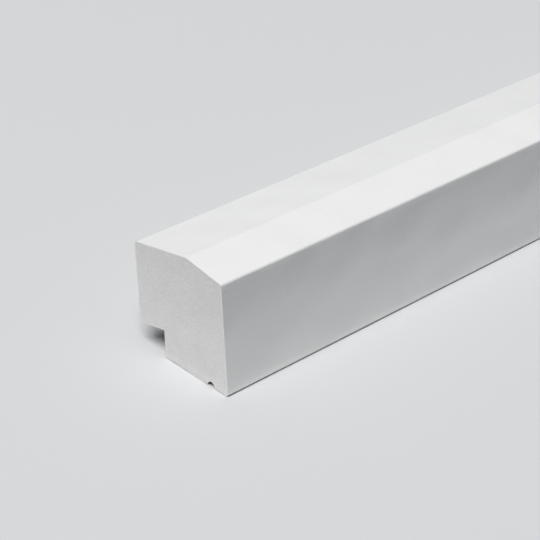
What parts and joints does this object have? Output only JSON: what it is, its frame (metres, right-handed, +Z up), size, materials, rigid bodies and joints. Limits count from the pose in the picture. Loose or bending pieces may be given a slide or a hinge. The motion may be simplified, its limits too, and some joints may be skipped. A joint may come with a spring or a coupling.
{
  "type": "sill moulding",
  "caption": "Straight length of sill moulding: level ledge, sloped front edge, rabbeted lower back corner and a falling underside with a drip groove and lip.",
  "frame": {"origin": "centre of the bounding box in plan, on the floor that the underside rests on", "axes": "+X along the length, -Y towards the front face, +Z up as it lies on its sloped underside; fitted on a wall it is turned 12 degrees about X, so that the back face is plumb"},
  "size_m": [2.4384, 0.0536, 0.046],
  "materials": {
    "cellular_pvc": "satin white extruded skin, matte sawn ends"
  },
  "bodies": {
    "root": {"sill_moulding": "cellular_pvc"}
  },
  "joints": []
}
